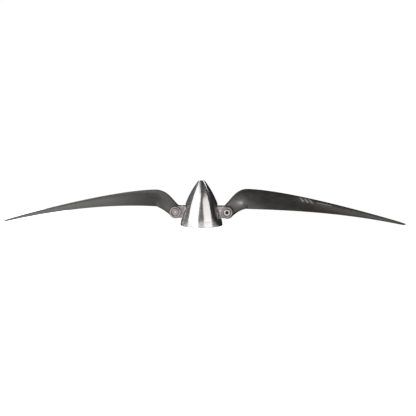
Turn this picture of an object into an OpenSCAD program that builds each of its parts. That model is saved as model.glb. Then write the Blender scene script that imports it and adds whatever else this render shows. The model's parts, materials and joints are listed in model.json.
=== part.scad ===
// Two-blade folding propeller for an electric model aircraft.
// The origin is the centre of the backplate's rear face, on the motor shaft's axis.
// +Z points forward out of the spinner's nose, and the open blades lie along +X and -X.
// The right blade lies along +X; the left one is the same part turned half a turn about Z.

/* [Propeller] */
// Diameter swept by the open blades
prop_d = 330; // [320:1:340]
// Distance between the two blade pivots
pivot_spacing = 42; // [41:0.5:43]
// Height of the pivots above the backplate's rear face
pivot_z = 11.2; // [11:0.1:11.4]
// Pitch at the blade root, the travel per turn
pitch_root = 260; // [230:5:270]
// Extra pitch gained from the root to the tip
pitch_gain = 80; // [40:5:100]

/* [Blade] */
// Distance from the shaft's axis to where the airfoil starts
root_x = 38; // [37:0.5:40]
// Height of the blade's crest above the rear face
crest_z = 22; // [21:0.5:23]
// Drop of the blade from its crest to its tip
tip_drop = 19.8; // [18:0.2:19.8]
// Chord at the airfoil's root
root_chord = 20; // [18:0.5:21]
// Chord that the outline runs down to, before the tip is rounded off
tip_chord = 3.5; // [2.5:0.1:4]
// Radius of the blade's eye around its pivot
eye_r = 5.4; // [5:0.1:5.5]
// Thickness of the blade's eye between the fork's cheeks
eye_t = 5; // [4.8:0.1:5]

/* [Spinner] */
// Radius of the spinner at its base
base_r = 17.2; // [17:0.1:17.5]
// Overall height of the spinner with its backplate
spinner_h = 36.6; // [36:0.1:38]
// Outer radius of the nose rim
nose_r = 2.6; // [2.6:0.1:3]
// Radius of the arc that the ogive follows
ogive_r = 71; // [66:1:80]
// Height of the seam between backplate and cone
seam_z = 4.8; // [4.6:0.1:5]
// Wall thickness of the cone
wall = 1.3; // [1:0.1:1.4]
// Width of the slots that the yoke's arms pass through
slot_w = 9.6; // [9.4:0.1:10]
// Height of the slots' upper edge
slot_top_z = 17.5; // [17:0.1:18]

/* [Yoke] */
// Width of the ears across the fork
yoke_w = 12.2; // [12:0.1:12.4]
// Width of the arms where they pass through the cone
arm_w = 8.8; // [8.6:0.1:9]
// Radius of the ears, half the height of the arms
ear_r = 4.83; // [4.7:0.01:4.9]
// Width of the fork's gap
gap_w = 5.7; // [5.7:0.1:6]
// Depth of the recesses for the pivot screw's head and nut
recess_depth = 2; // [1.8:0.1:2.2]
// Radius of those recesses
recess_r = 3.4; // [3.3:0.05:3.6]

/* [Shaft and collet] */
// Diameter of the motor shaft
shaft_d = 5; // [3.17:0.01:5]
// Outer diameter of the collet's threaded stem
stem_d = 8; // [7.8:0.1:8]

/* [Hidden] */
$fn = 96;
eps = 0.01;

pivot_x = pivot_spacing / 2;
tip_x = prop_d / 2 - 0.4;

// Ogive: an arc through the base's edge and the nose rim, whose centre lies below the axis.
chord_len = sqrt(pow(spinner_h, 2) + pow(base_r - nose_r, 2));
arc_sag = sqrt(pow(ogive_r, 2) - pow(chord_len / 2, 2));
arc_z = spinner_h / 2 - arc_sag * (base_r - nose_r) / chord_len;
arc_r = (base_r + nose_r) / 2 - arc_sag * spinner_h / chord_len;
function ogive(z) = arc_r + sqrt(pow(ogive_r, 2) - pow(z - arc_z, 2));
ogive_steps = 22;

// Seat of the yoke on the backplate, and the stack above it.
seat_z = 6.2;
hub_r = 8.6;
hub_top_z = pivot_z + ear_r;
bore_clearance = 0.05;
washer_t = 1;
washer_r = 7;
hub_nut_af = 13;
hub_nut_h = 4;
stem_top_z = 24.5;
stem_r = stem_d / 2;
shaft_r = shaft_d / 2;
shaft_end_z = 18;

// Collet's taper, which the backplate's bore matches.
taper_z = 0.3;
taper_r = 5.6;
slit_w = 0.6;
slit_top_z = 12;

// Backplate.
edge_break = 0.35;
spigot_top_z = 6;
spigot_wall = 1.6;
spigot_r = ogive(spigot_top_z + 0.6) - wall - bore_clearance;
floor_t = 3;
boss_r = 8.5;
relief_r = [9.5, 14.5];
relief_depth = 0.6;

// Nose screw, M2.5 with a cap head, and the web that it clamps.
nose_screw_r = 1.25;
nose_head_r = 2.25;
nose_head_h = 2.5;
nose_hex_af = 2;
nose_screw_len = 10;
nose_bore_r = 2.35;
web_z = [27, 30];
web_hole_r = 1.35;

// Drive pins between backplate and yoke.
pin_r = 1;
pin_y = 6.6;
pin_z = [3.7, 8.7];

// Pivot screw, M3 by 10 with a low cap head, its nut, its bush and its shims.
screw_r = 1.5;
screw_len = 10;
head_r = 2.75;
head_h = 2;
hex_af = 2.5;
hex_depth = 1.3;
nut_af = 5.5;
nut_h = 1.8;
hole_r = 1.55;
bush_r = 2;
bush_bore_r = 1.54;
shim_t = 0.25;
shim_r = 3.6;
fork_root_x = 16.6;
cheek_y = yoke_w / 2;
seat_y = cheek_y - recess_depth;

// Blade's laws. t runs 0 to 1 along the neck, u runs 0 to 1 from the airfoil's root to the tip.
neck_rings = 9;
blade_rings = 28;
side_points = 10;
neck_chord = 2 * eye_r;
neck_t = 4.6;
root_t = 3.4;
edge_t = 0.5;
camber = 0.05;
tip_slant = 1.9;
tip_taper = 0.6;
tip_taper_power = 40;
droop_power = 1.6;
function bezier(t, a, b, c, d) =
    a * pow(1 - t, 3) + 3 * b * t * pow(1 - t, 2) + 3 * c * pow(t, 2) * (1 - t) + d * pow(t, 3);
function pitch_angle(u) = atan((pitch_root + pitch_gain * u) / (2 * PI * (root_x + u * (tip_x - root_x))));
// One ring's law: [centre x, y, z, chord, angle, tilt, thickness, airfoil share, tip share]
function neck_law(t) = [
    bezier(t, pivot_x, 29.5, root_x - 5, root_x),
    bezier(t, 0, 0, 0.3, -0.5),
    bezier(t, pivot_z, 19, crest_z + 0.2, crest_z),
    bezier(t, neck_chord, neck_chord, root_chord - 0.7, root_chord),
    bezier(t, 90, 80, pitch_angle(0) + 4.3, pitch_angle(0)),
    bezier(t, 45, 45, 30, 0),
    bezier(t, neck_t, neck_t, root_t + 0.07, root_t),
    bezier(t, 0, 0, 1, 1),
    0];
function blade_law(u) = [
    root_x + u * (tip_x - root_x),
    bezier(u, -0.5, -6.5, -3, -0.5),
    crest_z - tip_drop * pow(u, droop_power),
    bezier(u, root_chord, 26, 10.5, tip_chord) * (1 - tip_taper * pow(u, tip_taper_power)),
    pitch_angle(u),
    0,
    bezier(u, root_t, 2.9, 1.5, 0.6),
    1,
    pow(u, 12)];

// Half thickness of a section at q, 0 at its leading edge and 1 at its trailing edge.
function neck_half(q) = sqrt(max(0, 1 - pow(2 * q - 1, 4))) / 2;
function foil_half(q) =
    5 * (0.2969 * sqrt(q) - 0.126 * q - 0.3516 * pow(q, 2) + 0.2843 * pow(q, 3) - 0.1036 * pow(q, 4));
function half_at(law, q) =
    law[6] * ((1 - law[7]) * neck_half(q) + law[7] * foil_half(q)) + edge_t * q * min(1, law[6]) / 2;
function camber_at(law, q) = law[7] * camber * law[3] * 4 * q * (1 - q);
function station(k) = (1 - cos(180 * k / side_points)) / 2;

// A point of a ring: s runs along the chord towards the leading edge, h along the suction side's normal.
function place(law, s, h, q) = [
    law[0] - sin(law[5]) * (s * sin(law[4]) + h * cos(law[4])) - tip_slant * q * law[8],
    law[1] + s * cos(law[4]) - h * sin(law[4]),
    law[2] + cos(law[5]) * (s * sin(law[4]) + h * cos(law[4]))];
function ring_point(law, q, side) =
    place(law, law[3] * (0.5 - q), camber_at(law, q) + side * half_at(law, q), q);
function ring(law) = [
    for (k = [side_points:-1:0]) ring_point(law, station(k), 1),
    for (k = [1:side_points]) ring_point(law, station(k), -1)];

module swept_blade() {
    laws = [for (i = [0:neck_rings]) neck_law(i / neck_rings), for (i = [1:blade_rings]) blade_law(i / blade_rings)];
    n = 2 * side_points + 1;
    last = (len(laws) - 1) * n;
    points = [for (law = laws) each ring(law)];
    skin = [for (r = [0:len(laws) - 2], k = [0:n - 1])
        each [[r * n + k, r * n + (k + 1) % n, (r + 1) * n + k],
              [r * n + (k + 1) % n, (r + 1) * n + (k + 1) % n, (r + 1) * n + k]]];
    root_cap = [for (k = [0:side_points - 1])
        each k < side_points - 1
            ? [[k + 1, k, n - 1 - k], [k + 1, n - 1 - k, n - 2 - k]]
            : [[k + 1, k, n - 1 - k]]];
    tip_cap = [for (f = root_cap) [last + f[0], last + f[2], last + f[1]]];
    polyhedron(points, concat(skin, root_cap, tip_cap), convexity = 6);
}

// A disc with both rims broken, standing on z = 0.
module chamfered_disc(r, h, c) {
    rotate_extrude()
        polygon([[0, 0], [r - c, 0], [r, c], [r, h - c], [r - c, h], [0, h]]);
}

// A hexagon nut with its corners turned off, standing on z = 0.
module hex_nut(af, h, bore_r) {
    corner_r = af / sqrt(3);
    turned = 0.12 * af;
    difference() {
        intersection() {
            cylinder(r = corner_r, h = h, $fn = 6);
            rotate_extrude()
                polygon([[0, 0], [corner_r - turned, 0], [corner_r, turned / 2],
                         [corner_r, h - turned / 2], [corner_r - turned, h], [0, h]]);
        }
        translate([0, 0, -eps]) cylinder(r = bore_r, h = h + 2 * eps);
    }
}

// A cap screw that hangs from z = 0: its head stands above and its shank below.
module cap_screw(r, length, head_r, head_h, af, socket_depth) {
    break_edge = 0.25;
    difference() {
        rotate_extrude()
            polygon([[0, -length], [r - break_edge, -length], [r, break_edge - length], [r, 0],
                     [head_r, 0], [head_r, head_h - break_edge], [head_r - break_edge, head_h], [0, head_h]]);
        translate([0, 0, head_h - socket_depth]) cylinder(r = af / sqrt(3), h = socket_depth + eps, $fn = 6);
    }
}

module spinner_cone() {
    inner_top_r = ogive(web_z[0]) - wall;
    outer = [for (i = [0:ogive_steps])
        let (z = seam_z + (spinner_h - seam_z) * i / ogive_steps) [ogive(z), z]];
    inner = [for (i = [ogive_steps:-1:1])
        let (z = spigot_top_z + 0.6 + (web_z[0] - spigot_top_z - 0.6) * i / ogive_steps) [ogive(z) - wall, z]];
    profile = concat(
        outer,
        [[nose_bore_r, spinner_h], [nose_bore_r, web_z[1]], [web_hole_r, web_z[1]], [web_hole_r, web_z[0]]],
        inner,
        [[spigot_r + bore_clearance, spigot_top_z + 0.6], [spigot_r + bore_clearance, seam_z]]);
    corner = 1.2;
    color([0.78, 0.78, 0.79])
    difference() {
        rotate_extrude() polygon(profile);
        for (side = [-1, 1]) {
            translate([side * base_r, 0, (seam_z + slot_top_z - corner) / 2 - eps])
                cube([base_r, slot_w, slot_top_z - corner - seam_z + 2 * eps], center = true);
            translate([side * base_r, 0, slot_top_z - corner])
                cube([base_r, slot_w - 2 * corner, 2 * corner], center = true);
            for (y = [-1, 1])
                translate([side * base_r, y * (slot_w / 2 - corner), slot_top_z - corner])
                    rotate([0, 90, 0]) cylinder(r = corner, h = base_r, center = true);
        }
    }
}

module backplate() {
    rim = [for (i = [0:4]) let (z = edge_break + (seam_z - edge_break) * i / 4) [ogive(z), z]];
    bore_top_r = stem_r + bore_clearance;
    profile = concat(
        [[taper_r, 0], [relief_r[0], 0], [relief_r[0], relief_depth], [relief_r[1], relief_depth],
         [relief_r[1], 0], [base_r - edge_break, 0]],
        rim,
        [[spigot_r, seam_z], [spigot_r, spigot_top_z], [spigot_r - spigot_wall, spigot_top_z],
         [spigot_r - spigot_wall, floor_t], [boss_r, floor_t], [boss_r, seat_z],
         [bore_top_r, seat_z], [taper_r, taper_z]]);
    color([0.74, 0.74, 0.75])
    difference() {
        rotate_extrude() polygon(profile);
        for (y = [-pin_y, pin_y])
            translate([0, y, pin_z[0]]) cylinder(r = pin_r, h = seat_z - pin_z[0] + eps);
    }
}

module collet() {
    thread_break = 0.5;
    color([0.62, 0.63, 0.65])
    difference() {
        rotate_extrude()
            polygon([[0, taper_z], [taper_r, taper_z], [stem_r + bore_clearance, seat_z], [stem_r, seat_z],
                     [stem_r, stem_top_z - thread_break], [stem_r - thread_break, stem_top_z], [0, stem_top_z]]);
        translate([0, 0, taper_z - eps]) cylinder(r = shaft_r, h = shaft_end_z - taper_z + eps);
        translate([0, 0, web_z[1] - nose_screw_len - 1]) cylinder(r = nose_screw_r, h = stem_top_z);
        for (angle = [0, 90])
            rotate([0, 0, angle])
                translate([-taper_r, -slit_w / 2, taper_z - eps])
                    cube([2 * taper_r, slit_w, slit_top_z - taper_z + eps]);
    }
}

// One arm of the yoke along +X: its ear, with the screw's recess in front and the nut's behind.
module yoke_arm() {
    rim_break = 0.6;
    difference() {
        union() {
            translate([0, -arm_w / 2, pivot_z - ear_r]) cube([pivot_x, arm_w, 2 * ear_r]);
            translate([pivot_x, cheek_y, pivot_z]) rotate([90, 0, 0]) chamfered_disc(ear_r, yoke_w, rim_break);
        }
        translate([fork_root_x, -gap_w / 2, 0]) cube([pivot_x, gap_w, 2 * pivot_z]);
        translate([fork_root_x, 0, 0]) cylinder(r = gap_w / 2, h = 2 * pivot_z);
        translate([pivot_x, cheek_y + eps, pivot_z]) rotate([90, 0, 0]) cylinder(r = hole_r, h = yoke_w + 2 * eps);
        for (side = [-1, 1])
            translate([pivot_x, side * (seat_y + recess_depth / 2 + eps / 2), pivot_z])
                rotate([90, 0, 0]) cylinder(r = recess_r, h = recess_depth + eps, center = true);
    }
}

module yoke() {
    color([0.66, 0.64, 0.62])
    difference() {
        union() {
            translate([0, 0, seat_z]) chamfered_disc(hub_r, hub_top_z - seat_z, 0.3);
            yoke_arm();
            rotate([0, 0, 180]) yoke_arm();
        }
        translate([0, 0, seat_z - eps]) cylinder(r = stem_r + bore_clearance, h = hub_top_z);
        for (y = [-pin_y, pin_y])
            translate([0, y, seat_z - eps]) cylinder(r = pin_r, h = pin_z[1] - seat_z + eps);
    }
}

module hub_washer() {
    color([0.7, 0.7, 0.72])
    difference() {
        translate([0, 0, hub_top_z]) chamfered_disc(washer_r, washer_t, 0.15);
        translate([0, 0, hub_top_z - eps]) cylinder(r = stem_r + 0.2, h = washer_t + 2 * eps);
    }
}

module hub_nut() {
    color([0.6, 0.61, 0.63])
    translate([0, 0, hub_top_z + washer_t]) hex_nut(hub_nut_af, hub_nut_h, stem_r);
}

module nose_screw() {
    color([0.35, 0.35, 0.36])
    translate([0, 0, web_z[1]])
        cap_screw(nose_screw_r, nose_screw_len, nose_head_r, nose_head_h, nose_hex_af, hex_depth);
}

module drive_pins() {
    color([0.7, 0.7, 0.72])
    for (y = [-pin_y, pin_y])
        translate([0, y, pin_z[0]]) chamfered_disc(pin_r, pin_z[1] - pin_z[0], 0.2);
}

// The hinge's fixed pieces on the right; each left one is the same piece turned half a turn.
module on_left() {
    rotate([0, 0, 180]) children();
}

module pivot_screw() {
    color([0.68, 0.68, 0.7])
    translate([pivot_x, -seat_y, pivot_z]) rotate([90, 0, 0])
        cap_screw(screw_r, screw_len, head_r, head_h, hex_af, hex_depth);
}

module pivot_nut() {
    color([0.68, 0.68, 0.7])
    translate([pivot_x, seat_y, pivot_z]) rotate([-90, 0, 0]) hex_nut(nut_af, nut_h, screw_r);
}

module shim(side) {
    middle_y = side * (gap_w - shim_t) / 2;
    color([0.75, 0.75, 0.76])
    translate([pivot_x, middle_y, pivot_z]) rotate([90, 0, 0])
        difference() {
            cylinder(r = shim_r, h = shim_t, center = true);
            cylinder(r = hole_r, h = 2 * shim_t, center = true);
        }
}

module blade() {
    color([0.2, 0.2, 0.2])
    difference() {
        union() {
            swept_blade();
            translate([pivot_x, eye_t / 2, pivot_z]) rotate([90, 0, 0]) cylinder(r = eye_r, h = eye_t);
        }
        translate([pivot_x, eye_t, pivot_z]) rotate([90, 0, 0]) cylinder(r = bush_r, h = 2 * eye_t);
    }
}

module bush() {
    color([0.72, 0.6, 0.35])
    translate([pivot_x, eye_t / 2, pivot_z]) rotate([90, 0, 0])
        difference() {
            cylinder(r = bush_r, h = eye_t);
            translate([0, 0, -eps]) cylinder(r = bush_bore_r, h = eye_t + 2 * eps);
        }
}

spinner_cone();
backplate();
collet();
yoke();
hub_washer();
hub_nut();
nose_screw();
drive_pins();
pivot_screw();  // pivot_screw_right
pivot_nut();  // pivot_nut_right
shim(-1);  // front_shim_right
shim(1);  // rear_shim_right
on_left() pivot_screw();  // pivot_screw_left
on_left() pivot_nut();  // pivot_nut_left
on_left() shim(1);  // front_shim_left
on_left() shim(-1);  // rear_shim_left
blade();  // blade_right
bush();  // bush_right
on_left() blade();  // blade_left
on_left() bush();  // bush_left
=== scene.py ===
# Two-blade folding propeller for an electric model aircraft, standing on the base of its spinner.
import json
import math

import bmesh
import bpy
from mathutils import Matrix, Vector


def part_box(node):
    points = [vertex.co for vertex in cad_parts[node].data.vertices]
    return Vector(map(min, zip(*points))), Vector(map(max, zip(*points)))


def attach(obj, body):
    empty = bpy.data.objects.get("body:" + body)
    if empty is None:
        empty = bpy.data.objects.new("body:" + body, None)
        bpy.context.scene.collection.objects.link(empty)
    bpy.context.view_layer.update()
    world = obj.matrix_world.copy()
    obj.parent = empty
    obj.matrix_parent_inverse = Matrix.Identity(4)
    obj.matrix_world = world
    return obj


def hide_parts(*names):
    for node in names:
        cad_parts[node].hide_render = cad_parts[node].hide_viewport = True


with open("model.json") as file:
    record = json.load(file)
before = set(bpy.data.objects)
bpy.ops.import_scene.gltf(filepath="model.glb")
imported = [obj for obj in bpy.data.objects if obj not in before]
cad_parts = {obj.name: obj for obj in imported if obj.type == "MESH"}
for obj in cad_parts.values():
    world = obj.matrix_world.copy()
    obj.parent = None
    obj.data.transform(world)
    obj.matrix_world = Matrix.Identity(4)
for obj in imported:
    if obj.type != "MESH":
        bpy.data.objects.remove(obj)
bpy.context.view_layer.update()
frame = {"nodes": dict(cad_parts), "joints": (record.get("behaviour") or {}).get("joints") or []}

scene = bpy.context.scene

# ---------------------------------------------------------------------------------------------
# Spinner cone: an ogive turned from aluminium bar on a lathe and polished with fine paper, its
# nose cut off flat and bored for the nose screw. Two slots in its side clear the yoke's arms.
# ---------------------------------------------------------------------------------------------

MM = 0.001
base_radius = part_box("backplate")[1].x
spinner_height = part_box("spinner_cone")[1].z
seam_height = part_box("spinner_cone")[0].z
nose_radius = 2.6 * MM
ogive_radius = 71 * MM
cone_wall = 1.3 * MM
lip_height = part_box("backplate")[1].z + 0.4 * MM
nose_bore = 2.35 * MM
nose_floor = 30 * MM
web_floor = 27 * MM
screw_hole = 1.35 * MM
slot_width = 9.6 * MM
slot_top = 17.5 * MM
slot_corner = 1.2 * MM
edge_break = 0.12 * MM
turned_segments = 256
merge_distance = 0.001 * MM


def linear(hex_colour):
    """An sRGB hex colour as the linear RGBA that shaders take."""
    channels = [int(hex_colour[i:i + 2], 16) / 255 for i in (1, 3, 5)]
    return [c / 12.92 if c <= 0.04045 else ((c + 0.055) / 1.055) ** 2.4 for c in channels] + [1]


def add(tree, kind, inputs=None, **settings):
    """Adds one node to a tree. settings are its own properties; inputs are values or other nodes' sockets."""
    made = tree.nodes.new(kind)
    for name, value in settings.items():
        setattr(made, name, value)
    for socket, value in (inputs or {}).items():
        if isinstance(value, bpy.types.NodeSocket):
            tree.links.new(value, made.inputs[socket])
        else:
            made.inputs[socket].default_value = value
    return made


def new_material(name):
    """An empty node material and its tree."""
    made = bpy.data.materials.new(name)
    made.use_nodes = True
    made.node_tree.nodes.clear()
    return made, made.node_tree


def turned_aluminium(name, colour, roughness, streak_depth, groove_pitch):
    """Aluminium alloy turned on a lathe: fine rings round the axis spread each highlight along the
    profile, the polish leaves faint lighter and darker rings, and handling leaves duller patches."""
    patch_size, groove_depth = 9 * MM, 0.006 * MM
    made, tree = new_material(name)
    place = add(tree, "ShaderNodeTexCoord").outputs["Object"]
    axes = add(tree, "ShaderNodeSeparateXYZ", {0: place})
    flat = add(tree, "ShaderNodeCombineXYZ", {0: axes.outputs["X"], 1: axes.outputs["Y"]})
    radius = add(tree, "ShaderNodeVectorMath", {0: flat.outputs[0]}, operation="LENGTH").outputs["Value"]
    along = add(tree, "ShaderNodeMath", {0: axes.outputs["Z"], 1: radius}, operation="SUBTRACT").outputs[0]
    ring = add(tree, "ShaderNodeCombineXYZ", {2: along}).outputs[0]
    streaks = add(tree, "ShaderNodeTexNoise", {"Vector": ring, "Scale": 1 / (6 * groove_pitch), "Detail": 6,
                                               "Roughness": 0.7})
    grooves = add(tree, "ShaderNodeTexNoise", {"Vector": ring, "Scale": 1 / groove_pitch, "Detail": 2})
    patches = add(tree, "ShaderNodeTexNoise", {"Vector": place, "Scale": 1 / patch_size, "Detail": 3})
    tone = add(tree, "ShaderNodeMapRange", {"Value": streaks.outputs["Fac"], "From Min": 0.3, "From Max": 0.7,
                                            "To Min": 1 - streak_depth, "To Max": 1})
    shade = add(tree, "ShaderNodeVectorMath", {0: linear(colour)[:3], 3: tone.outputs[0]}, operation="SCALE")
    gloss = add(tree, "ShaderNodeMapRange", {"Value": patches.outputs["Fac"], "From Min": 0.35, "From Max": 0.7,
                                             "To Min": roughness * 0.85, "To Max": roughness * 1.3})
    bump = add(tree, "ShaderNodeBump", {"Strength": 0.25, "Distance": groove_depth,
                                        "Height": grooves.outputs["Fac"]})
    tangent = add(tree, "ShaderNodeTangent", direction_type="RADIAL", axis="Z")
    shader = add(tree, "ShaderNodeBsdfPrincipled", {
        "Base Color": shade.outputs[0], "Metallic": 1, "Roughness": gloss.outputs[0], "Anisotropic": 0.75,
        "Anisotropic Rotation": 0.25, "Tangent": tangent.outputs[0], "Normal": bump.outputs[0]})
    add(tree, "ShaderNodeOutputMaterial", {"Surface": shader.outputs[0]})
    return made


polished = turned_aluminium("polished_turned_aluminium", "#E4E3E3", 0.16, 0.12, 0.12 * MM)


def ogive(height):
    """Outer radius of the spinner at a height: an arc through the base's edge and the nose's rim."""
    rise, run = spinner_height, base_radius - nose_radius
    span = math.hypot(rise, run)
    sag = math.sqrt(ogive_radius ** 2 - (span / 2) ** 2)
    centre_z = rise / 2 - sag * run / span
    centre_r = (base_radius + nose_radius) / 2 - sag * rise / span
    return centre_r + math.sqrt(ogive_radius ** 2 - (height - centre_z) ** 2)


def steps(first, last, count):
    """count + 1 evenly spaced numbers from the first to the last."""
    return [first + (last - first) * i / count for i in range(count + 1)]


def profile_object(name, points):
    """An outline of (radius, height) points as a closed loop of edges in the XZ plane."""
    mesh = bpy.data.meshes.new(name)
    edges = [(i, (i + 1) % len(points)) for i in range(len(points))]
    mesh.from_pydata([(r, 0, z) for r, z in points], edges, [])
    made = bpy.data.objects.new(name, mesh)
    scene.collection.objects.link(made)
    return made


def interface(name, numbers):
    """A Geometry Nodes group that takes a geometry, the named sizes and a material, and gives a geometry."""
    tree = bpy.data.node_groups.new(name, "GeometryNodeTree")
    tree.interface.new_socket("Geometry", in_out="INPUT", socket_type="NodeSocketGeometry")
    for label, kind in numbers:
        tree.interface.new_socket(label, in_out="INPUT", socket_type=kind)
    tree.interface.new_socket("Material", in_out="INPUT", socket_type="NodeSocketMaterial")
    tree.interface.new_socket("Geometry", in_out="OUTPUT", socket_type="NodeSocketGeometry")
    return tree, add(tree, "NodeGroupInput").outputs


def close_tree(tree, geometry, material):
    """Ends a tree in Realize Instances and Set Material."""
    real = add(tree, "GeometryNodeRealizeInstances", {"Geometry": geometry})
    painted = add(tree, "GeometryNodeSetMaterial", {"Geometry": real.outputs[0], "Material": material})
    add(tree, "NodeGroupOutput", {"Geometry": painted.outputs[0]})


def grown(start, tree, settings):
    """The plain mesh object that a tree makes from a starting object, which is then removed."""
    modifier = start.modifiers.new(tree.name, "NODES")
    modifier.node_group = tree
    for item in tree.interface.items_tree:
        if item.in_out == "INPUT" and item.name in settings:
            modifier[item.identifier] = settings[item.name]
    seen = start.evaluated_get(bpy.context.evaluated_depsgraph_get())
    mesh = bpy.data.meshes.new_from_object(seen)
    made = bpy.data.objects.new(start.name, mesh)
    bpy.data.objects.remove(start)
    scene.collection.objects.link(made)
    return made


def tidy_faces(piece, sharp_degrees=30):
    """Merges doubles, turns every face outwards and shades smooth up to the given angle."""
    work = bmesh.new()
    work.from_mesh(piece.data)
    bmesh.ops.remove_doubles(work, verts=work.verts, dist=merge_distance)
    bmesh.ops.dissolve_degenerate(work, edges=work.edges, dist=merge_distance / 2)
    bmesh.ops.recalc_face_normals(work, faces=work.faces)
    work.to_mesh(piece.data)
    work.free()
    piece.data.polygons.foreach_set("use_smooth", [True] * len(piece.data.polygons))
    piece.data.set_sharp_from_angle(angle=math.radians(sharp_degrees))


def lathe_tree():
    """Turns an outline round Z: each grid row is one outline point, each column one angle."""
    tree, given = interface("turned_on_the_lathe", [("Segments", "NodeSocketInt")])
    count = add(tree, "GeometryNodeAttributeDomainSize", {"Geometry": given["Geometry"]})
    rows = add(tree, "ShaderNodeMath", {0: count.outputs["Point Count"], 1: 1}, operation="ADD")
    columns = add(tree, "ShaderNodeMath", {0: given["Segments"], 1: 1}, operation="ADD")
    grid = add(tree, "GeometryNodeMeshGrid", {"Vertices X": rows.outputs[0], "Vertices Y": columns.outputs[0]})
    index = add(tree, "GeometryNodeInputIndex")
    quotient = add(tree, "ShaderNodeMath", {0: index.outputs[0], 1: columns.outputs[0]}, operation="DIVIDE")
    row = add(tree, "ShaderNodeMath", {0: quotient.outputs[0]}, operation="FLOOR")
    row_point = add(tree, "ShaderNodeMath", {0: row.outputs[0], 1: count.outputs["Point Count"]},
                    operation="MODULO")
    column = add(tree, "ShaderNodeMath", {0: index.outputs[0], 1: columns.outputs[0]}, operation="MODULO")
    share = add(tree, "ShaderNodeMath", {0: column.outputs[0], 1: given["Segments"]}, operation="DIVIDE")
    angle = add(tree, "ShaderNodeMath", {0: share.outputs[0], 1: 2 * math.pi}, operation="MULTIPLY")
    outline = add(tree, "GeometryNodeSampleIndex", {
        "Geometry": given["Geometry"], "Value": add(tree, "GeometryNodeInputPosition").outputs[0],
        "Index": row_point.outputs[0]}, data_type="FLOAT_VECTOR", domain="POINT")
    turned = add(tree, "ShaderNodeVectorRotate", {"Vector": outline.outputs[0], "Angle": angle.outputs[0]},
                 rotation_type="Z_AXIS")
    placed = add(tree, "GeometryNodeSetPosition", {"Geometry": grid.outputs[0], "Position": turned.outputs[0]})
    outwards = add(tree, "GeometryNodeFlipFaces", {"Mesh": placed.outputs[0]})
    joined = add(tree, "GeometryNodeMergeByDistance", {"Geometry": outwards.outputs[0],
                                                       "Distance": merge_distance / 2})
    close_tree(tree, joined.outputs[0], given["Material"])
    return tree


lathe = lathe_tree()


def turned_piece(name, points, material, segments=turned_segments):
    """A closed mesh turned on the lathe tree from an outline of (radius, height) points."""
    made = grown(profile_object(name, points), lathe, {"Segments": segments, "Material": material})
    tidy_faces(made)
    return made


def cut(piece, cutter, operation="DIFFERENCE"):
    """Cuts one mesh with another, or joins them, and removes the cutter."""
    modifier = piece.modifiers.new(operation.lower(), "BOOLEAN")
    modifier.operation, modifier.solver, modifier.object = operation, "EXACT", cutter
    seen = piece.evaluated_get(bpy.context.evaluated_depsgraph_get())
    mesh = bpy.data.meshes.new_from_object(seen)
    piece.modifiers.clear()
    piece.data = mesh
    bpy.data.objects.remove(cutter)


def rounded_slot(name):
    """The cutter for both side slots: a bar along X whose two upper edges are rounded."""
    half, reach = slot_width / 2, base_radius * 2
    bottom, corner_z = seam_height - slot_corner, slot_top - slot_corner
    arc = [math.radians(a) for a in steps(0, 90, 6)]
    right = [(half + slot_corner * (math.cos(a) - 1), corner_z + slot_corner * math.sin(a)) for a in arc]
    left = [(-y, z) for y, z in reversed(right)]
    ring = [(half, bottom)] + right + left + [(-half, bottom)]
    count = len(ring)
    points = [(x, y, z) for x in (-reach, reach) for y, z in ring]
    faces = [tuple(range(count))[::-1], tuple(range(count, 2 * count))]
    faces += [(i, (i + 1) % count, (i + 1) % count + count, i + count) for i in range(count)]
    mesh = bpy.data.meshes.new(name)
    mesh.from_pydata(points, [], faces)
    made = bpy.data.objects.new(name, mesh)
    scene.collection.objects.link(made)
    tidy_faces(made)
    return made


outer = [(ogive(z), z) for z in steps(seam_height + edge_break, spinner_height - edge_break, 90)]
inner = [(ogive(z) - cone_wall, z) for z in steps(web_floor, lip_height, 30)]
spigot_radius = ogive(lip_height) - cone_wall
cone_outline = (
    [(ogive(seam_height) - edge_break, seam_height)] + outer
    + [(ogive(spinner_height) - edge_break / 2, spinner_height), (nose_bore, spinner_height),
       (nose_bore, nose_floor), (screw_hole, nose_floor), (screw_hole, web_floor)]
    + inner + [(spigot_radius, seam_height)])
spinner_cone = turned_piece("spinner_cone_turned", cone_outline, polished)
cut(spinner_cone, rounded_slot("slot_cutter"))
tidy_faces(spinner_cone)
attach(spinner_cone, "hub")
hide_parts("spinner_cone")

# ---------------------------------------------------------------------------------------------
# Backplate: a disc turned from the same bar, so its rim carries the ogive on down to the base. A
# spigot centres the cone on it, and a boss in the middle holds the collet's taper and two pins.
# ---------------------------------------------------------------------------------------------

base_break = 0.35 * MM
spigot_wall, spigot_play = 1.6 * MM, 0.05 * MM
spigot_top = 6 * MM
floor_thickness = 3 * MM
boss_radius = 8.5 * MM
boss_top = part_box("backplate")[1].z
taper_radius = 5.6 * MM
taper_start = 0.3 * MM
stem_bore = 4.05 * MM
relief = (9.5 * MM, 14.5 * MM)
relief_depth = 0.6 * MM
pin_radius = 1 * MM
pin_offset = 6.6 * MM
pin_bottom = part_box("drive_pins")[0].z

turned_base = turned_aluminium("turned_aluminium_base", "#DCDBDB", 0.22, 0.18, 0.16 * MM)


def round_bar(name, radius, bottom, top, x=0, y=0, segments=48):
    """A plain upright bar, for drilling a hole."""
    made = turned_piece(name, [(0, bottom), (radius, bottom), (radius, top), (0, top)], None, segments)
    made.data.transform(Matrix.Translation((x, y, 0)))
    return made


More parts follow.
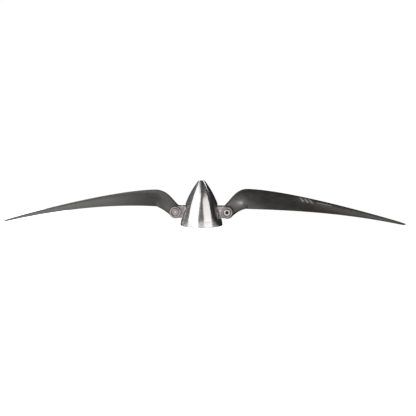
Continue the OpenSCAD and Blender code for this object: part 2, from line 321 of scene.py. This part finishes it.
backplate_outline = (
    [(taper_radius, 0), (relief[0], 0), (relief[0], relief_depth), (relief[1], relief_depth), (relief[1], 0),
     (base_radius - base_break, 0)]
    + [(ogive(z), z) for z in steps(base_break, seam_height - edge_break, 14)]
    + [(ogive(seam_height) - edge_break, seam_height), (spigot_radius - spigot_play, seam_height),
       (spigot_radius - spigot_play, spigot_top), (spigot_radius - spigot_wall, spigot_top),
       (spigot_radius - spigot_wall, floor_thickness), (boss_radius, floor_thickness), (boss_radius, boss_top),
       (stem_bore, boss_top), (taper_radius, taper_start)])
backplate = turned_piece("backplate_turned", backplate_outline, turned_base)
for side in (-1, 1):
    cut(backplate, round_bar("pin_drill", pin_radius, pin_bottom, boss_top + MM, y=side * pin_offset))
tidy_faces(backplate)
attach(backplate, "hub")
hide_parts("backplate")

# ---------------------------------------------------------------------------------------------
# Yoke: the cross bar that carries the blades, milled from aluminium alloy and blasted with glass
# beads to an even, slightly sparkling grey. Its arms end in forks with rounded ears.
# ---------------------------------------------------------------------------------------------

bead_pit, pit_depth = 0.35 * MM, 0.05 * MM
rubbed_size = 5 * MM
milled_edge = 0.12 * MM


def blasted_alloy():
    """Bead-blasted alloy: overlapping round pits scatter the light, so it is grey and even, with a little
    rubbing on broad patches. Small brighter and darker specks are painted into its colour as glints, where
    single pits catch the light."""
    made, tree = new_material("bead_blasted_alloy")
    place = add(tree, "ShaderNodeTexCoord").outputs["Object"]
    pits = add(tree, "ShaderNodeTexVoronoi", {"Vector": place, "Scale": 1 / bead_pit}, feature="F1")
    # Painted glints: the specks stand for single pits catching the light. Single pits are too fine to show, so
    # the specks are drawn about two pits wide.
    pit_glint_specks = add(tree, "ShaderNodeTexNoise", {"Vector": place, "Scale": 1 / (2 * bead_pit), "Detail": 5,
                                              "Roughness": 0.8})
    rubbed = add(tree, "ShaderNodeTexNoise", {"Vector": place, "Scale": 1 / rubbed_size, "Detail": 2})
    colour = add(tree, "ShaderNodeValToRGB", {"Fac": pit_glint_specks.outputs["Fac"]})
    colour.color_ramp.elements[0].position = 0.38
    colour.color_ramp.elements[0].color = linear("#6E6A68")
    colour.color_ramp.elements[1].position = 0.62
    colour.color_ramp.elements[1].color = linear("#938F8C")
    gloss = add(tree, "ShaderNodeMapRange", {"Value": rubbed.outputs["Fac"], "From Min": 0.35, "From Max": 0.65,
                                             "To Min": 0.42, "To Max": 0.56})
    bump = add(tree, "ShaderNodeBump", {"Strength": 0.6, "Distance": pit_depth,
                                        "Height": pits.outputs["Distance"]})
    shader = add(tree, "ShaderNodeBsdfPrincipled", {
        "Base Color": colour.outputs[0], "Metallic": 1, "Roughness": gloss.outputs[0],
        "Normal": bump.outputs[0]})
    add(tree, "ShaderNodeOutputMaterial", {"Surface": shader.outputs[0]})
    return made


def broken_edges(node, name, width, material, segments=2):
    """A merged copy of a CAD node with its sharp edges rounded, as a file or a tumbler leaves them."""
    made = bpy.data.objects.new(name, frame["nodes"][node].data.copy())
    scene.collection.objects.link(made)
    work = bmesh.new()
    work.from_mesh(made.data)
    bmesh.ops.remove_doubles(work, verts=work.verts, dist=merge_distance)
    bmesh.ops.dissolve_limit(work, angle_limit=math.radians(0.2), verts=work.verts, edges=work.edges)
    work.to_mesh(made.data)
    work.free()
    bevel = made.modifiers.new("broken_edges", "BEVEL")
    bevel.width, bevel.segments, bevel.limit_method = width, segments, "ANGLE"
    bevel.angle_limit = math.radians(40)
    mesh = bpy.data.meshes.new_from_object(made.evaluated_get(bpy.context.evaluated_depsgraph_get()))
    made.modifiers.clear()
    made.data = mesh
    made.data.materials.clear()
    made.data.materials.append(material)
    tidy_faces(made, 35)
    return made


yoke = broken_edges("yoke", "yoke_blasted", milled_edge, blasted_alloy())
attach(yoke, "hub")
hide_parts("yoke")

# ---------------------------------------------------------------------------------------------
# Collet, hub washer, hub nut and drive pins: the steel parts under the cone that grip the motor
# shaft. The split taper of the collet shows from behind; the rest is sealed inside the spinner.
# ---------------------------------------------------------------------------------------------


def machined_metal(name, light, dark, roughness, grain):
    """Machined metal, plated or bare: tool lines and tiny dull spots break up an even, cool shine."""
    line_depth = 0.01 * MM
    made, tree = new_material(name)
    place = add(tree, "ShaderNodeTexCoord").outputs["Object"]
    spots = add(tree, "ShaderNodeTexNoise", {"Vector": place, "Scale": 1 / grain, "Detail": 5,
                                             "Roughness": 0.65})
    lines = add(tree, "ShaderNodeTexNoise", {"Vector": place, "Scale": 1 / (4 * grain), "Detail": 2})
    colour = add(tree, "ShaderNodeValToRGB", {"Fac": spots.outputs["Fac"]})
    colour.color_ramp.elements[0].position = 0.3
    colour.color_ramp.elements[0].color = linear(dark)
    colour.color_ramp.elements[1].position = 0.6
    colour.color_ramp.elements[1].color = linear(light)
    gloss = add(tree, "ShaderNodeMapRange", {"Value": lines.outputs["Fac"], "From Min": 0.35, "From Max": 0.65,
                                             "To Min": roughness * 0.8, "To Max": roughness * 1.3})
    bump = add(tree, "ShaderNodeBump", {"Strength": 0.3, "Distance": line_depth,
                                        "Height": spots.outputs["Fac"]})
    shader = add(tree, "ShaderNodeBsdfPrincipled", {
        "Base Color": colour.outputs[0], "Metallic": 1, "Roughness": gloss.outputs[0],
        "Normal": bump.outputs[0]})
    add(tree, "ShaderNodeOutputMaterial", {"Surface": shader.outputs[0]})
    return made


def paint(node, material):
    """Gives a CAD node a better material in all its slots."""
    slots = frame["nodes"][node].data.materials
    for i in range(len(slots)):
        slots[i] = material


collet_steel = machined_metal("turned_collet_steel", "#B9BABC", "#8C8D90", 0.3, 0.3 * MM)
hub_steel = machined_metal("zinc_plated_steel", "#C4C5C8", "#9B9CA0", 0.28, 0.25 * MM)
paint("collet", collet_steel)
for part in ("hub_washer", "hub_nut", "drive_pins"):
    paint(part, hub_steel)

# ---------------------------------------------------------------------------------------------
# Screws and nuts: cold-headed steel cap screws with a hexagon socket, turned thread by thread
# here as fine rings. An M3 one and its nut close each hinge; a black M2.5 one holds the cone.
# ---------------------------------------------------------------------------------------------

pivot_x = frame["joints"][0]["pos_m"][0]
pivot_z = frame["joints"][0]["pos_m"][2]
seat_y = 4.1 * MM
m3 = {"radius": 1.5 * MM, "length": 10 * MM, "head": 2.75 * MM, "head_height": 2 * MM, "socket": 2.5 * MM,
      "depth": 1.3 * MM, "pitch": 0.5 * MM, "plain": 4 * MM}
m25 = {"radius": 1.25 * MM, "length": 10 * MM, "head": 2.25 * MM, "head_height": 2.5 * MM, "socket": 2 * MM,
       "depth": 1.3 * MM, "pitch": 0.45 * MM, "plain": 1 * MM}
nut_width = 5.5 * MM
nut_height = 1.8 * MM
socket_overshoot = 0.1 * MM


def screw_outline(size):
    """Half outline of a cap screw under z = 0 with its head above: thread, plain shank and rounded head."""
    core, rim = size["radius"] - 0.6 * size["pitch"], 0.3 * MM
    turns = int((size["length"] - size["plain"]) / size["pitch"])
    points = [(0, -size["length"]), (core, -size["length"])]
    for i in range(turns):
        root = -size["length"] + size["pitch"] * (i + 0.25)
        points += [(core, root), (size["radius"], root + size["pitch"] / 2)]
    points += [(size["radius"], -size["plain"]), (size["radius"], 0), (size["head"], 0)]
    points += [(size["head"] - rim + rim * math.cos(a), size["head_height"] - rim + rim * math.sin(a))
               for a in steps(0, math.pi / 2, 5)]
    return points + [(0, size["head_height"])]


def nut_outline(width, height):
    """Half outline of the turned block that rounds a nut's corners."""
    corner, turned = width / math.sqrt(3), 0.12 * width
    return [(0, 0), (corner - turned, 0), (corner, turned / 2), (corner, height - turned / 2),
            (corner - turned, height), (0, height)]


def fastener_tree():
    """A turned outline cut by a hexagon bar (a socket) or kept inside one (a nut), drilled, set in place at the
    right hinge and repeated at equal turns round the shaft's axis."""
    tree, given = interface("fastener", [
        ("Segments", "NodeSocketInt"), ("Hexagon", "NodeSocketFloat"), ("Hexagon Depth", "NodeSocketFloat"),
        ("Hexagon Middle", "NodeSocketFloat"), ("Keep Inside", "NodeSocketBool"), ("Bore", "NodeSocketFloat"),
        ("Tilt", "NodeSocketVector"), ("Place", "NodeSocketVector"), ("Copies", "NodeSocketInt")])
    body = add(tree, "GeometryNodeGroup", {"Geometry": given["Geometry"], "Segments": given["Segments"]},
               node_tree=lathe)
    corner = add(tree, "ShaderNodeMath", {0: given["Hexagon"], 1: 1 / math.sqrt(3)}, operation="MULTIPLY")
    bar = add(tree, "GeometryNodeMeshCylinder", {"Vertices": 6, "Radius": corner.outputs[0],
                                                 "Depth": given["Hexagon Depth"]})
    height = add(tree, "ShaderNodeCombineXYZ", {2: given["Hexagon Middle"]})
    raised = add(tree, "GeometryNodeTransform", {"Geometry": bar.outputs["Mesh"],
                                                 "Translation": height.outputs[0]})
    socket = add(tree, "GeometryNodeMeshBoolean", {"Mesh 1": body.outputs[0], "Mesh 2": raised.outputs[0]},
                 operation="DIFFERENCE", solver="EXACT")
    block = add(tree, "GeometryNodeMeshBoolean", operation="INTERSECT", solver="EXACT")
    tree.links.new(body.outputs[0], block.inputs["Mesh 2"])
    tree.links.new(raised.outputs[0], block.inputs["Mesh 2"])
    drill = add(tree, "GeometryNodeMeshCylinder", {"Vertices": 48, "Radius": given["Bore"],
                                                   "Depth": given["Hexagon Depth"]})
    drill_at = add(tree, "GeometryNodeTransform", {"Geometry": drill.outputs["Mesh"],
                                                   "Translation": height.outputs[0]})
    bored = add(tree, "GeometryNodeMeshBoolean", {"Mesh 1": block.outputs["Mesh"],
                                                  "Mesh 2": drill_at.outputs[0]},
                operation="DIFFERENCE", solver="EXACT")
    chosen = add(tree, "GeometryNodeSwitch", {"Switch": given["Keep Inside"], "False": socket.outputs["Mesh"],
                                              "True": bored.outputs["Mesh"]}, input_type="GEOMETRY")
    placed = add(tree, "GeometryNodeTransform", {"Geometry": chosen.outputs[0], "Translation": given["Place"],
                                                 "Rotation": given["Tilt"]})
    spots = add(tree, "GeometryNodeMeshLine", {"Count": given["Copies"], "Offset": (0, 0, 0)})
    index = add(tree, "GeometryNodeInputIndex")
    share = add(tree, "ShaderNodeMath", {0: index.outputs[0], 1: given["Copies"]}, operation="DIVIDE")
    angle = add(tree, "ShaderNodeMath", {0: share.outputs[0], 1: 2 * math.pi}, operation="MULTIPLY")
    turn = add(tree, "ShaderNodeCombineXYZ", {2: angle.outputs[0]})
    repeated = add(tree, "GeometryNodeInstanceOnPoints", {
        "Points": spots.outputs["Mesh"], "Instance": placed.outputs[0], "Rotation": turn.outputs[0]})
    close_tree(tree, repeated.outputs[0], given["Material"])
    return tree


fastener = fastener_tree()


def cap_screws(name, size, tilt, place, copies, material):
    """Cap screws with a hexagon socket, grown by the fastener tree from one outline."""
    middle = size["head_height"] - (size["depth"] - socket_overshoot) / 2
    made = grown(profile_object(name, screw_outline(size)), fastener, {
        "Segments": 64, "Hexagon": size["socket"], "Hexagon Depth": size["depth"] + socket_overshoot,
        "Hexagon Middle": middle, "Keep Inside": False, "Bore": size["radius"], "Tilt": tilt, "Place": place,
        "Copies": copies, "Material": material})
    tidy_faces(made)
    return made


def paint_socket_shade(piece, size, head_top, material):
    """Paints the walls and floor of each pivot screw's socket a dull black, as painted shade for the shadow
    that fills the deep socket.
    """
    piece.data.materials.append(material)
    black = len(piece.data.materials) - 1
    margin = 0.02 * MM
    reach = size["socket"] / math.sqrt(3) + margin
    for face in piece.data.polygons:
        spot = face.center
        off = math.hypot(abs(spot.x) - pivot_x, spot.z - pivot_z)
        height = -spot.y if spot.x > 0 else spot.y
        if off < reach and head_top - size["depth"] - margin < height < head_top - margin:
            face.material_index = black


screw_steel = machined_metal("cold_headed_screw_steel", "#A8A4A1", "#83807D", 0.26, 0.22 * MM)
nut_steel = machined_metal("zinc_plated_nut_steel", "#918D8A", "#64615E", 0.34, 0.25 * MM)
black_steel = machined_metal("black_oxide_steel", "#3A3A3C", "#242426", 0.38, 0.25 * MM)

pivot_screws = cap_screws("pivot_cap_screws", m3, (math.pi / 2, 0, 0), (pivot_x, -seat_y, pivot_z), 2,
                          screw_steel)
# Painted shade: a near-black material on the sockets' walls and floors stands for the shadow inside them.
socket_painted_shade = machined_metal("socket_painted_shade_steel", "#262627", "#171718", 0.5, 0.25 * MM)
paint_socket_shade(pivot_screws, m3, seat_y + m3["head_height"], socket_painted_shade)
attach(pivot_screws, "hub")
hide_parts("pivot_screw_right", "pivot_screw_left")

pivot_nuts = grown(profile_object("pivot_hexagon_nuts", nut_outline(nut_width, nut_height)), fastener, {
    "Segments": 96, "Hexagon": nut_width, "Hexagon Depth": 2 * nut_height, "Hexagon Middle": nut_height / 2,
    "Keep Inside": True, "Bore": m3["radius"], "Tilt": (-math.pi / 2, 0, 0),
    "Place": (pivot_x, seat_y, pivot_z), "Copies": 2, "Material": nut_steel})
tidy_faces(pivot_nuts, 20)
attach(pivot_nuts, "hub")
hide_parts("pivot_nut_right", "pivot_nut_left")

nose_screw = cap_screws("nose_cap_screw", m25, (0, 0, 0), (0, 0, nose_floor), 1, black_steel)
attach(nose_screw, "hub")
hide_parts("nose_screw")

# ---------------------------------------------------------------------------------------------
# Shims and bushes: spring-steel rings pressed from strip fill the gap between each cheek and the
# blade's eye, and a turned brass bush in the eye runs on the screw's plain shank.
# ---------------------------------------------------------------------------------------------

shim_steel = machined_metal("rolled_strip_steel", "#BDBEC0", "#8F9093", 0.33, 0.2 * MM)
bush_brass = machined_metal("turned_brass", "#D6BB78", "#A88C4E", 0.27, 0.2 * MM)
for side in ("left", "right"):
    for part in ("front_shim_", "rear_shim_"):
        paint(part + side, shim_steel)
    paint("bush_" + side, bush_brass)

# ---------------------------------------------------------------------------------------------
# Blades: injection moulded in glass-filled black nylon, both from one mould, the left one turned
# half a turn. A flat neck climbs out of the fork and twists into a thin, drooping, pointed airfoil.
# ---------------------------------------------------------------------------------------------

root_x = 38 * MM
tip_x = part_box("blade_right")[1].x
pitch_root = 260 * MM
pitch_gain = 80 * MM
crest_z = 22 * MM
tip_drop = 19.8 * MM
droop_power = 1.6
root_chord, tip_chord = 20 * MM, 3.5 * MM
tip_taper, tip_taper_power = 0.6, 40
neck_thickness = 4.6 * MM
root_thickness, edge_thickness = 3.4 * MM, 0.5 * MM
camber = 0.05
tip_slant = 1.9 * MM
eye_radius, eye_thickness, eye_edge = 5.4 * MM, 5 * MM, 0.25 * MM
neck_chord = 2 * eye_radius
bush_radius = 2 * MM
neck_rings, blade_rings, side_points = 44, 190, 26
# The printed mark. Along the span it is measured in millimetres from the airfoil's root, and across the
# suction side as a share of the side from the trailing edge.
bar_pitch, bar_width, bar_lean, bars_middle = 3.6, 1.9, 14, 54
line_middle, line_half = 61, 6
bars_side, bars_side_half = 0.6, 0.1
line_side, line_side_half = 0.56, 0.02
ink_cover = 0.6


def bezier(t, a, b, c, d):
    """A curve that leaves a towards b as t leaves 0 and reaches d from c as t reaches 1."""
    return a * (1 - t) ** 3 + 3 * b * t * (1 - t) ** 2 + 3 * c * t ** 2 * (1 - t) + d * t ** 3


def pitch_angle(u):
    return math.atan((pitch_root + pitch_gain * u) / (2 * math.pi * (root_x + u * (tip_x - root_x))))


def neck_law(t):
    """Section of the neck at t, 0 at the pivot and 1 at the airfoil's root."""
    start = pitch_angle(0)
    return {
        "centre": Vector((bezier(t, pivot_x, 29.5 * MM, root_x - 5 * MM, root_x),
                          bezier(t, 0, 0, 0.3 * MM, -0.5 * MM),
                          bezier(t, pivot_z, 19 * MM, crest_z + 0.2 * MM, crest_z))),
        "chord": bezier(t, neck_chord, neck_chord, root_chord - 0.7 * MM, root_chord),
        "angle": bezier(t, math.pi / 2, math.radians(80), start + math.radians(4.3), start),
        "tilt": bezier(t, math.pi / 4, math.pi / 4, math.pi / 6, 0),
        "thickness": bezier(t, neck_thickness, neck_thickness, root_thickness + 0.07 * MM, root_thickness),
        "foil": bezier(t, 0, 0, 1, 1), "slant": 0, "span": t - 1}


def blade_law(u):
    """Section of the airfoil at u, 0 at its root and 1 at the blade's tip."""
    return {
        "centre": Vector((root_x + u * (tip_x - root_x),
                          bezier(u, -0.5 * MM, -6.5 * MM, -3 * MM, -0.5 * MM),
                          crest_z - tip_drop * u ** droop_power)),
        "chord": bezier(u, root_chord, 26 * MM, 10.5 * MM, tip_chord) * (1 - tip_taper * u ** tip_taper_power),
        "angle": pitch_angle(u), "tilt": 0,
        "thickness": bezier(u, root_thickness, 2.9 * MM, 1.5 * MM, 0.6 * MM),
        "foil": 1, "slant": tip_slant * u ** 12, "span": u}


def section_point(law, q, side):
    """A point of a section: q runs from 0 at the leading edge to 1 at the trailing edge, and side is 1 on the
    suction side and -1 on the pressure side."""
    stadium = math.sqrt(max(0, 1 - (2 * q - 1) ** 4)) / 2
    wing = 5 * (0.2969 * math.sqrt(q) - 0.126 * q - 0.3516 * q ** 2 + 0.2843 * q ** 3 - 0.1036 * q ** 4)
    half = law["thickness"] * ((1 - law["foil"]) * stadium + law["foil"] * wing)
    half += edge_thickness * q * min(1, law["thickness"] / MM) / 2
    along = law["chord"] * (0.5 - q)
    across = law["foil"] * camber * law["chord"] * 4 * q * (1 - q) + side * half
    cos_a, sin_a = math.cos(law["angle"]), math.sin(law["angle"])
    rise = along * sin_a + across * cos_a
    lean = Vector((-math.sin(law["tilt"]) * rise - law["slant"] * q, along * cos_a - across * sin_a,
                   math.cos(law["tilt"]) * rise))
    return law["centre"] + lean


def swept_blade(name, material):
    """The neck and airfoil as one skin, with a UV map: U along the span, V round the section, 0 at the trailing
    edge, up the suction side to 1 at the leading edge and back down the pressure side to 2."""
    laws = [neck_law(t) for t in steps(0, 1, neck_rings)[:-1]]
    laws += [blade_law(u) for u in steps(0, 1, blade_rings)]
    stations = [(1 - math.cos(math.pi * k / side_points)) / 2 for k in range(side_points + 1)]
    loop = [(q, 1) for q in reversed(stations)] + [(q, -1) for q in stations[1:]]
    count = len(loop)
    points = [section_point(law, q, side) for law in laws for q, side in loop]
    faces, flat = [], []
    for r in range(len(laws) - 1):
        for k in range(count):
            after = (k + 1) % count
            faces.append((r * count + k, r * count + after, (r + 1) * count + after, (r + 1) * count + k))
            near, far = laws[r]["span"], laws[r + 1]["span"]
            first, second = k / side_points, (k + 1) / side_points
            flat += [(near, first), (near, second), (far, second), (far, first)]
    for start, turned in ((0, False), ((len(laws) - 1) * count, True)):
        for k in range(side_points):
            strip = [start + k, start + k + 1, start + count - 2 - k, start + count - 1 - k]
            corners = list(dict.fromkeys(strip))
            faces.append(tuple(reversed(corners)) if turned else tuple(corners))
            flat += [(1 if turned else -1, 0)] * len(corners)
    mesh = bpy.data.meshes.new(name)
    mesh.from_pydata(points, [], faces)
    layer = mesh.uv_layers.new(name="span_and_side")
    layer.data.foreach_set("uv", [value for pair in flat for value in pair])
    mesh.materials.append(material)
    made = bpy.data.objects.new(name, mesh)
    scene.collection.objects.link(made)
    return made


def printed_bars(tree):
    """Where pale ink lies on the suction side: three leaning bars, then a thin line, with no lettering."""
    place = add(tree, "ShaderNodeUVMap", uv_map="span_and_side")
    spot = add(tree, "ShaderNodeSeparateXYZ", {0: place.outputs[0]})
    side = spot.outputs["Y"]
    along = add(tree, "ShaderNodeMath", {0: spot.outputs["X"], 1: (tip_x - root_x) / MM}, operation="MULTIPLY")
    leaning = add(tree, "ShaderNodeMath", {0: side, 1: bar_lean, 2: along.outputs[0]}, operation="MULTIPLY_ADD")
    phase = add(tree, "ShaderNodeMath", {0: leaning.outputs[0], 1: bar_pitch}, operation="MODULO")
    bar = add(tree, "ShaderNodeMath", {0: phase.outputs[0], 1: bar_width}, operation="LESS_THAN")
    bars_along = add(tree, "ShaderNodeMath", {0: leaning.outputs[0], 1: bars_middle, 2: 1.5 * bar_pitch},
                     operation="COMPARE")
    bars_across = add(tree, "ShaderNodeMath", {0: side, 1: bars_side, 2: bars_side_half}, operation="COMPARE")
    line_along = add(tree, "ShaderNodeMath", {0: along.outputs[0], 1: line_middle, 2: line_half},
                     operation="COMPARE")
    line_across = add(tree, "ShaderNodeMath", {0: side, 1: line_side, 2: line_side_half}, operation="COMPARE")
    bars = add(tree, "ShaderNodeMath", {0: bars_along.outputs[0], 1: bars_across.outputs[0]},
               operation="MULTIPLY")
    cut_bars = add(tree, "ShaderNodeMath", {0: bars.outputs[0], 1: bar.outputs[0]}, operation="MULTIPLY")
    line = add(tree, "ShaderNodeMath", {0: line_along.outputs[0], 1: line_across.outputs[0]},
               operation="MULTIPLY")
    ink = add(tree, "ShaderNodeMath", {0: cut_bars.outputs[0], 1: line.outputs[0]}, operation="MAXIMUM")
    return add(tree, "ShaderNodeMath", {0: ink.outputs[0], 1: ink_cover}, operation="MULTIPLY").outputs[0]


def filled_nylon():
    """Black nylon with glass fibre, injection moulded: satin, charcoal rather than black, with faint flow lines
    along the blade, paler clouds where fibre lies at the skin, and a fine grain from the mould."""
    flow_width, cloud_size, grain_size, grain_depth = 1.1 * MM, 7 * MM, 0.4 * MM, 0.03 * MM
    made, tree = new_material("glass_filled_nylon")
    place = add(tree, "ShaderNodeTexCoord").outputs["Object"]
    flow_at = add(tree, "ShaderNodeMapping", {"Vector": place, "Scale": (0.12, 1, 1)})
    flow = add(tree, "ShaderNodeTexNoise", {"Vector": flow_at.outputs[0], "Scale": 1 / flow_width, "Detail": 4,
                                            "Roughness": 0.6})
    clouds = add(tree, "ShaderNodeTexNoise", {"Vector": place, "Scale": 1 / cloud_size, "Detail": 5,
                                              "Roughness": 0.62})
    grain = add(tree, "ShaderNodeTexNoise", {"Vector": place, "Scale": 1 / grain_size, "Detail": 3})
    mixed = add(tree, "ShaderNodeMix", {"Factor": 0.35, "A": clouds.outputs["Fac"], "B": flow.outputs["Fac"]})
    colour = add(tree, "ShaderNodeValToRGB", {"Fac": mixed.outputs[0]})
    colour.color_ramp.elements[0].position = 0.36
    colour.color_ramp.elements[0].color = linear("#242220")
    colour.color_ramp.elements[1].position = 0.66
    colour.color_ramp.elements[1].color = linear("#343230")
    printed = add(tree, "ShaderNodeMix", {0: printed_bars(tree), 6: colour.outputs[0], 7: linear("#A8A4A1")},
                  data_type="RGBA")
    gloss = add(tree, "ShaderNodeMapRange", {"Value": mixed.outputs[0], "From Min": 0.35, "From Max": 0.65,
                                             "To Min": 0.31, "To Max": 0.43})
    bump = add(tree, "ShaderNodeBump", {"Strength": 0.35, "Distance": grain_depth,
                                        "Height": grain.outputs["Fac"]})
    shader = add(tree, "ShaderNodeBsdfPrincipled", {
        "Base Color": printed.outputs[2], "Roughness": gloss.outputs[0], "IOR": 1.53,
        "Normal": bump.outputs[0]})
    add(tree, "ShaderNodeOutputMaterial", {"Surface": shader.outputs[0]})
    return made


def across_hinge(piece):
    """Lays a turned piece along Y with its middle at the right pivot."""
    piece.data.transform(Matrix.Translation((pivot_x, 0, pivot_z)) @ Matrix.Rotation(math.pi / 2, 4, "X"))
    return piece


nylon = filled_nylon()
half_eye = eye_thickness / 2
eye_outline = [(0, -half_eye), (eye_radius - eye_edge, -half_eye), (eye_radius, eye_edge - half_eye),
               (eye_radius, half_eye - eye_edge), (eye_radius - eye_edge, half_eye), (0, half_eye)]
right_blade = swept_blade("blade_right_moulded", nylon)
tidy_faces(right_blade)
cut(right_blade, across_hinge(turned_piece("eye", eye_outline, nylon, 128)), "UNION")
cut(right_blade, across_hinge(round_bar("eye_drill", bush_radius, -eye_thickness, eye_thickness)))
tidy_faces(right_blade, 40)
left_blade = right_blade.copy()
left_blade.name = "blade_left_moulded"
left_blade.data = right_blade.data.copy()
left_blade.data.transform(Matrix.Rotation(math.pi, 4, "Z"))
scene.collection.objects.link(left_blade)
for side, blade in (("right", right_blade), ("left", left_blade)):
    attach(blade, side + "_blade")
    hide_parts("blade_" + side)

# ---------------------------------------------------------------------------------------------
# Table, tent, lights and camera: a white table lit from inside, two soft boxes and a bare lamp in
# front, two soft boxes behind, and a dark tent, cloth and cards, which keep the metal's edges dark.
# ---------------------------------------------------------------------------------------------

table_half = 12
tent_radius = 3
open_foot, open_side = 9, (-80, 68)
cloth_height, cloth_side = 0.2 * MM, (68, 235)
shade_inner, cloth_inner = base_radius - 0.6 * MM, base_radius + 0.8 * MM
card_fade, card_outer, cloth_outer = (22 * MM, 78 * MM), 250 * MM, 2.9
grey_card_distance = 0.97 * tent_radius
white_room_glow, table_glow, cloth_glow, card_glow = 1.02, 0.97, 0.014, 0.85
camera_azimuth = math.radians(4)
camera_height = math.radians(6.5)
camera_distance = 0.688
camera_near, camera_far = 0.01, 50
lens_mm, sensor_mm = 72.9, 36
aim_right, aim_up = 5.24 * MM, 14.1 * MM

scene.view_settings.view_transform = "Standard"
world = bpy.data.worlds.new("white_room")
world.use_nodes = True
world.node_tree.nodes["Background"].inputs["Color"].default_value = (1, 1, 1, 1)
world.node_tree.nodes["Background"].inputs["Strength"].default_value = white_room_glow
scene.world = world


def staged(name, points, faces, material):
    """A mesh that belongs to the staging and not to the object."""
    mesh = bpy.data.meshes.new(name)
    mesh.from_pydata(points, [], faces)
    mesh.materials.append(material)
    made = bpy.data.objects.new(name, mesh)
    scene.collection.objects.link(made)
    return made


def stage_material(name, colour, glow):
    """Matt cloth, card or lit plastic of a colour, which gives off white light of its own."""
    made, tree = new_material(name)
    shader = add(tree, "ShaderNodeBsdfPrincipled", {
        "Base Color": linear(colour), "Roughness": 0.9, "Specular IOR Level": 0, "Emission Color": (1, 1, 1, 1),
        "Emission Strength": glow})
    add(tree, "ShaderNodeOutputMaterial", {"Surface": shader.outputs[0]})
    return made


staged("table", [(x * table_half, y * table_half, 0) for x, y in ((-1, -1), (1, -1), (1, 1), (-1, 1))],
       [(0, 1, 2, 3)], stage_material("lit_white_acrylic", "#F4F4F4", table_glow))


def around(distance, azimuth, height):
    """A point seen from the spinner's foot at a compass angle from the front and a height angle, in degrees."""
    a, h = math.radians(azimuth), math.radians(height)
    return (distance * math.cos(h) * math.sin(a), -distance * math.cos(h) * math.cos(a), distance * math.sin(h))


def hidden_sheet(name, columns, material):
    """A sheet through columns of points, which the camera looks through but reflections and light meet."""
    rows = len(columns[0])
    points = [point for column in columns for point in column]
    faces = [(c * rows + r, (c + 1) * rows + r, (c + 1) * rows + r + 1, c * rows + r + 1)
             for c in range(len(columns) - 1) for r in range(rows - 1)]
    made = staged(name, points, faces, material)
    made.visible_camera = False


def floor_ring(name, inner, outer, first, last, count, material):
    """A flat hidden sheet just above the table, between two radii and two compass angles."""
    hidden_sheet(name, [[(*around(d, a, 0)[:2], cloth_height) for d in (inner, outer)]
                        for a in steps(first, last, count)], material)


def fading_card():
    """Card that is dark by the spinner's foot and brightens outwards, for the left blade's pressure side."""
    made = stage_material("floor_card", "#3A3A3A", cloth_glow)
    tree = made.node_tree
    place = add(tree, "ShaderNodeTexCoord")
    distance = add(tree, "ShaderNodeVectorMath", {0: place.outputs["Object"]}, operation="LENGTH")
    fade = add(tree, "ShaderNodeMapRange", {
        "Value": distance.outputs["Value"], "From Min": card_fade[0], "From Max": card_fade[1],
        "To Min": cloth_glow, "To Max": card_glow})
    shader = next(node for node in tree.nodes if node.type == "BSDF_PRINCIPLED")
    tree.links.new(fade.outputs["Result"], shader.inputs["Emission Strength"])
    return made


dark_cloth = stage_material("dark_cloth", "#3A3A3A", cloth_glow)
hidden_sheet("tent_front", [[around(tent_radius, a, h) for h in steps(open_foot, 89, 12)]
                            for a in steps(open_side[0], open_side[1], 32)], dark_cloth)
hidden_sheet("tent_back", [[around(tent_radius, a, h) for h in steps(0, 89, 12)]
                           for a in steps(open_side[1], open_side[0] + 360, 40)], dark_cloth)
floor_ring("floor_cloth", cloth_inner, cloth_outer, cloth_side[0], cloth_side[1], 40, dark_cloth)
floor_ring("left_floor_card", cloth_inner, card_outer, cloth_side[1], open_side[0] + 360, 20, fading_card())
floor_ring("contact_shade", shade_inner, cloth_inner, 0, 360, 96, dark_cloth)
for name, sides, heights, glow in (("left_grey_card", (-150, -80), (0, 60), 0.12),
                                   ("front_card_left", (-17, 0), (9, 75), 0.11),
                                   ("front_card_right", (0, 20), (9, 75), 0.09)):
    hidden_sheet(name, [[around(grey_card_distance, a, h) for h in steps(heights[0], heights[1], 6)]
                        for a in steps(sides[0], sides[1], 8)], stage_material(name, "#3A3A3A", glow))


def soft_box(name, azimuth, height, size, brightness, tint):
    """A soft box one metre away that faces the spinner, at a compass angle and a height angle in degrees."""
    light = bpy.data.lights.new(name, "AREA")
    light.shape = "RECTANGLE"
    light.size, light.size_y = size
    light.energy = brightness * math.pi * size[0] * size[1]
    light.color = linear(tint)[:3]
    made = bpy.data.objects.new(name, light)
    back = Vector(around(1, azimuth, height))
    made.location = back + Vector((0, 0, spinner_height / 2))
    made.rotation_mode = "QUATERNION"
    made.rotation_quaternion = back.to_track_quat("Z", "Y")
    made.visible_camera = False
    scene.collection.objects.link(made)


soft_box("left_soft_box", -46, 32, (1.16, 1.0), 1.35, "#FFFFFF")
soft_box("right_soft_box", 41, 24, (0.81, 0.75), 1.15, "#FFFAF8")
soft_box("bare_lamp", -31, 14, (0.2, 0.2), 36, "#FFFBF9")
soft_box("back_left_box", -126, 52, (0.5, 0.4), 1.7, "#FFFFFF")
soft_box("back_right_box", 122, 52, (0.5, 0.4), 1.7, "#FFFFFF")

camera_data = bpy.data.cameras.new("camera")
camera_data.lens, camera_data.sensor_width = lens_mm, sensor_mm
camera_data.clip_start, camera_data.clip_end = camera_near, camera_far
camera = bpy.data.objects.new("camera", camera_data)
back = Vector((math.sin(camera_azimuth) * math.cos(camera_height),
               -math.cos(camera_azimuth) * math.cos(camera_height), math.sin(camera_height)))
right = Vector((math.cos(camera_azimuth), math.sin(camera_azimuth), 0))
up = back.cross(right)
camera.location = right * aim_right + up * aim_up + back * camera_distance
camera.rotation_mode = "QUATERNION"
camera.rotation_quaternion = back.to_track_quat("Z", "Y")
scene.collection.objects.link(camera)
scene.camera = camera
